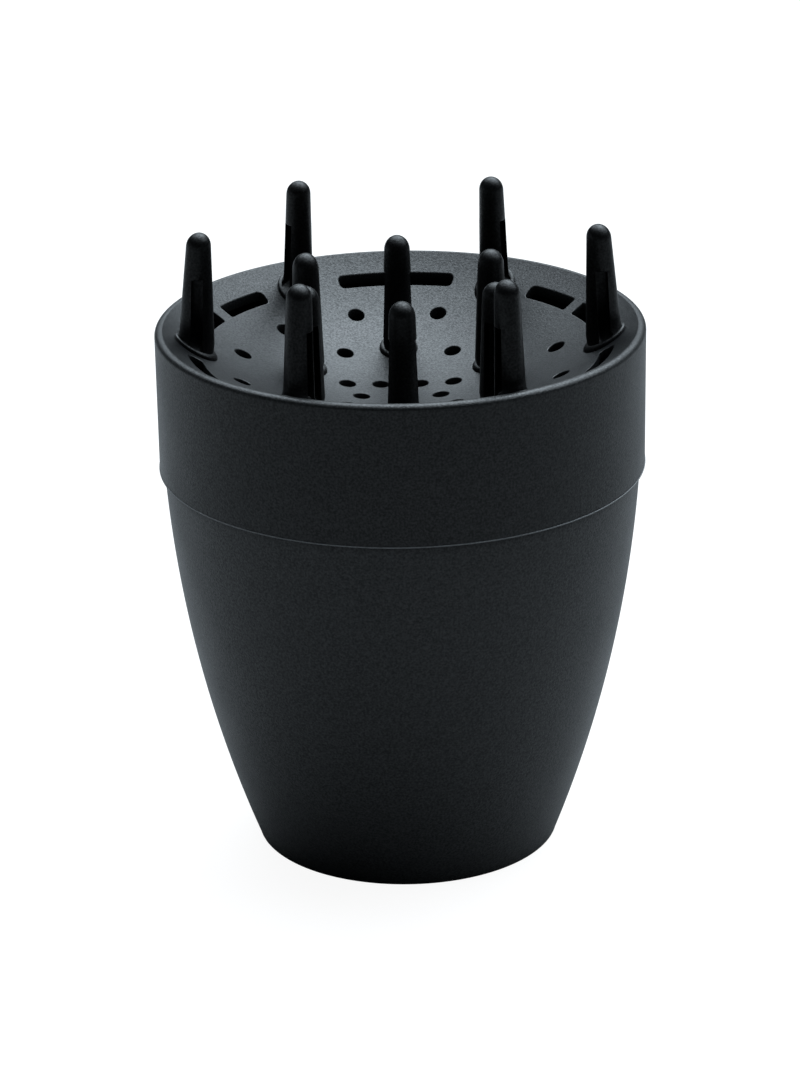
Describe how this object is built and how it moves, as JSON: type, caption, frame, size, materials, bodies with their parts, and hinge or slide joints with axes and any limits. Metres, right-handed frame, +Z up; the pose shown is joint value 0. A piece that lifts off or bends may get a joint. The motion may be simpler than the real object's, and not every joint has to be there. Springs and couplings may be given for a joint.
{
  "type": "dryer diffuser",
  "caption": "Cup-shaped hair dryer diffuser with a concave perforated dish and upright fingers, and a soft collar in its narrow end that grips the dryer's nozzle.",
  "frame": {"origin": "centre of the base, on the surface that the diffuser stands on", "axes": "+Z up along the cup's axis, from the nozzle end to the fingers; +X through one outer finger and a pair of side slots"},
  "size_m": [0.11, 0.11, 0.1447],
  "materials": {
    "body_plastic": "satin black with a fine moulded grain",
    "finger_plastic": "satin black, smoother than the body",
    "inner_plastic": "plain moulded black",
    "collar_rubber": "soft matt black",
    "steel": "zinc-plated"
  },
  "bodies": {
    "root": {"front_cap": "body_plastic", "lower_shell": "body_plastic", "grip_collar": "collar_rubber", "grip_hoop": "steel", "collar_ring": "inner_plastic", "air_spreader": "inner_plastic", "ring_screws": "steel", "spreader_screws": "steel", "outer_finger_1": "finger_plastic", "outer_finger_2": "finger_plastic", "outer_finger_3": "finger_plastic", "outer_finger_4": "finger_plastic", "outer_finger_5": "finger_plastic", "outer_finger_6": "finger_plastic", "inner_finger_1": "finger_plastic", "inner_finger_2": "finger_plastic", "inner_finger_3": "finger_plastic", "inner_finger_4": "finger_plastic", "inner_finger_5": "finger_plastic", "inner_finger_6": "finger_plastic"}
  },
  "joints": []
}
